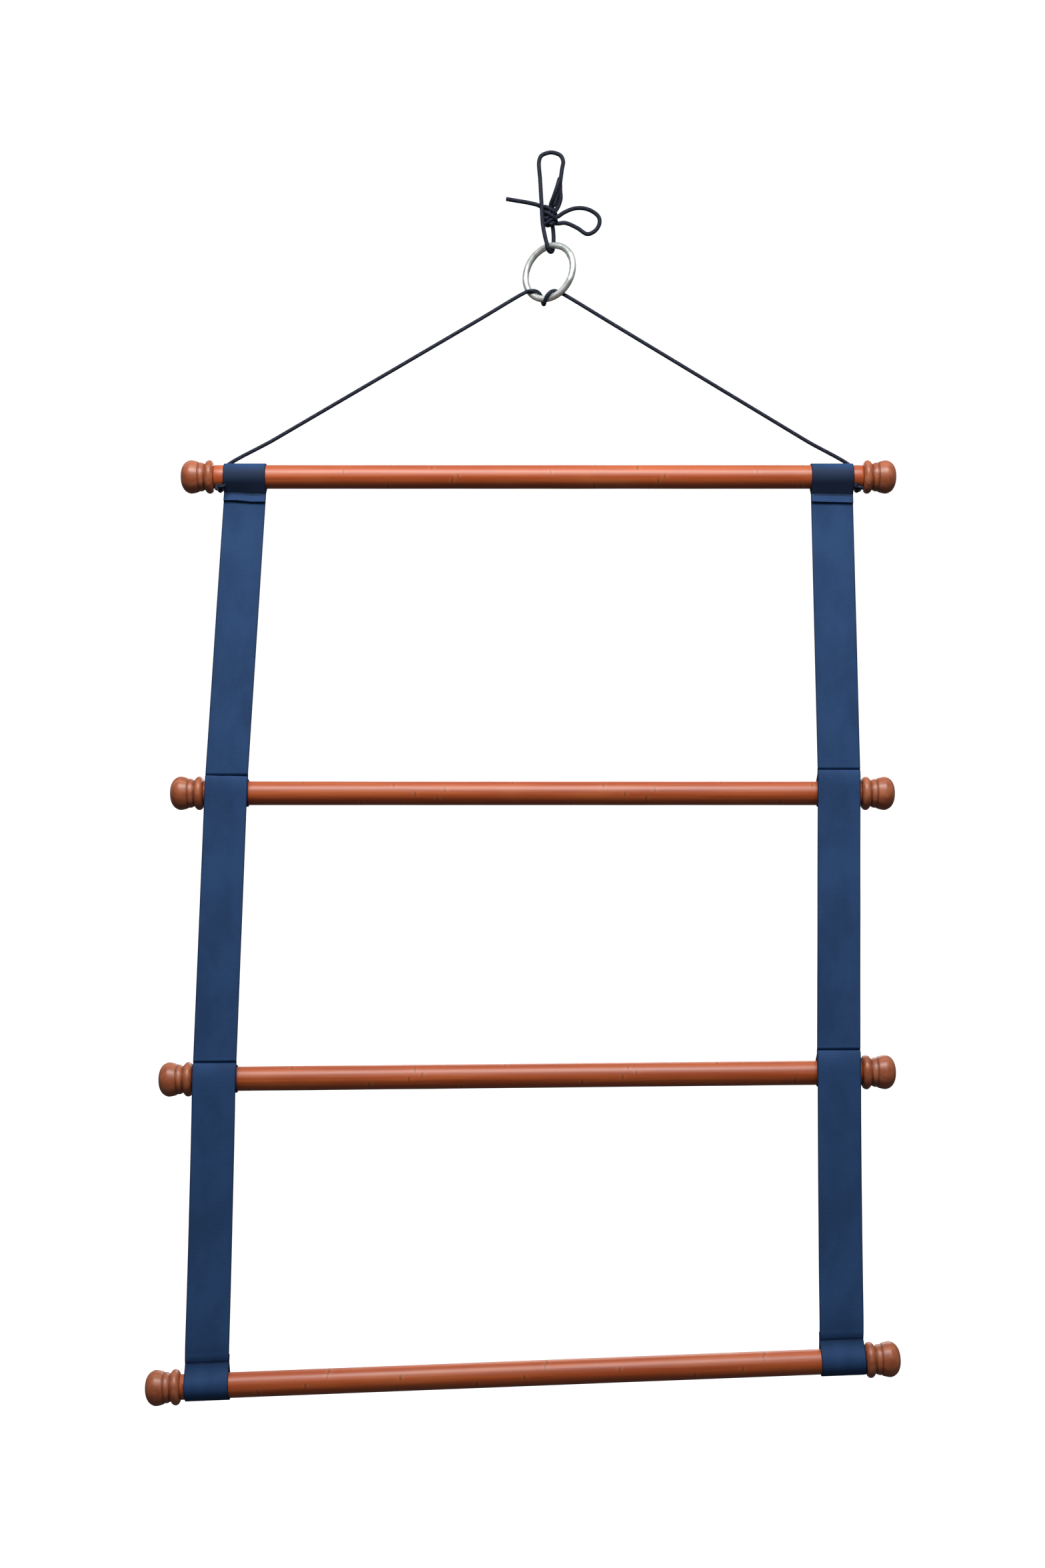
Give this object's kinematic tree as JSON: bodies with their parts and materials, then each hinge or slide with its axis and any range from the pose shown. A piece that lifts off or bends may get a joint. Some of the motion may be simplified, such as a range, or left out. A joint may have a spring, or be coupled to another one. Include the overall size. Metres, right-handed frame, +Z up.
{
  "type": "hanging rack",
  "caption": "Hanging rack of round wooden bars with turned end knobs, held in two webbing straps and slung by a cord from a steel ring.",
  "frame": {"origin": "inside top of the tie cord's loop, where a hook holds the rack up", "axes": "+X to the viewer's right along the bars, -Y to the front, +Z up"},
  "size_m": [0.8683, 0.0612, 1.482],
  "materials": {
    "bamboo": "satin varnish over terracotta stain",
    "turned_wood": "matte varnish over terracotta stain",
    "webbing": "ribbed woven nylon, navy",
    "bridle_braid": "braided nylon, dark navy",
    "tie_braid": "braided nylon, dark navy",
    "ring_steel": "dull polished",
    "screw_steel": "plain"
  },
  "bodies": {
    "hanger": {"tie_cord": "tie_braid", "bow_knot": "tie_braid", "bow_loop": "tie_braid", "bow_loop_upper": "tie_braid", "cord_tail": "tie_braid"},
    "sling": {"hang_ring": "ring_steel", "bridle_cord": "bridle_braid", "end_knot_left": "bridle_braid", "end_knot_right": "bridle_braid"},
    "bar_1": {"rod_1": "bamboo", "finial_1_left": "turned_wood", "finial_1_right": "turned_wood", "finial_screw_1_left": "screw_steel", "finial_screw_1_right": "screw_steel"},
    "straps_1": {"loop_left_1": "webbing", "loop_right_1": "webbing", "strap_left_1": "webbing", "strap_right_1": "webbing", "loop_left_2": "webbing", "loop_right_2": "webbing"},
    "bar_2": {"rod_2": "bamboo", "finial_2_left": "turned_wood", "finial_2_right": "turned_wood", "finial_screw_2_left": "screw_steel", "finial_screw_2_right": "screw_steel"},
    "straps_2": {"strap_left_2": "webbing", "strap_right_2": "webbing", "loop_left_3": "webbing", "loop_right_3": "webbing"},
    "bar_3": {"rod_3": "bamboo", "finial_3_left": "turned_wood", "finial_3_right": "turned_wood", "finial_screw_3_left": "screw_steel", "finial_screw_3_right": "screw_steel"},
    "straps_3": {"strap_left_3": "webbing", "strap_right_3": "webbing", "loop_left_4": "webbing", "loop_right_4": "webbing"},
    "bar_4": {"rod_4": "bamboo", "finial_4_left": "turned_wood", "finial_4_right": "turned_wood", "finial_screw_4_left": "screw_steel", "finial_screw_4_right": "screw_steel"}
  },
  "joints": [
    {"name": "ring_swing", "type": "hinge", "parent": "hanger", "child": "sling", "pos_m": [-0.00165, 0.00009, -0.11595], "axis": [-0.84, 0.5426, 0.0007], "range_deg": [-60, 60]},
    {"name": "strap_swing", "type": "hinge", "parent": "sling", "child": "straps_1", "pos_m": [-0.0158, 0, -0.4028], "axis": [-1, 0, 0], "range_deg": [-90, 90]},
    {"name": "fold_2", "type": "hinge", "parent": "straps_1", "child": "straps_2", "pos_m": [-0.02275, -0.001, -0.7585], "axis": [-1, 0, -0.0098], "range_deg": [0, 90]},
    {"name": "fold_3", "type": "hinge", "parent": "straps_2", "child": "straps_3", "pos_m": [-0.0296, -0.001, -1.0874], "axis": [-0.9998, 0, -0.0202], "range_deg": [0, 135]},
    {"name": "roll_1", "type": "hinge", "parent": "sling", "child": "bar_1", "pos_m": [-0.0158, 0, -0.4028], "axis": [1, 0, 0], "continuous": true},
    {"name": "roll_2", "type": "hinge", "parent": "straps_1", "child": "bar_2", "pos_m": [-0.0231, 0.0178, -0.78], "axis": [1, 0, 0], "continuous": true},
    {"name": "roll_3", "type": "hinge", "parent": "straps_2", "child": "bar_3", "pos_m": [-0.0293, 0.0178, -1.1089], "axis": [0.9999, 0, 0.0105], "continuous": true},
    {"name": "roll_4", "type": "hinge", "parent": "straps_3", "child": "bar_4", "pos_m": [-0.0341, 0, -1.4413], "axis": [0.9993, 0, 0.0384], "continuous": true}
  ]
}
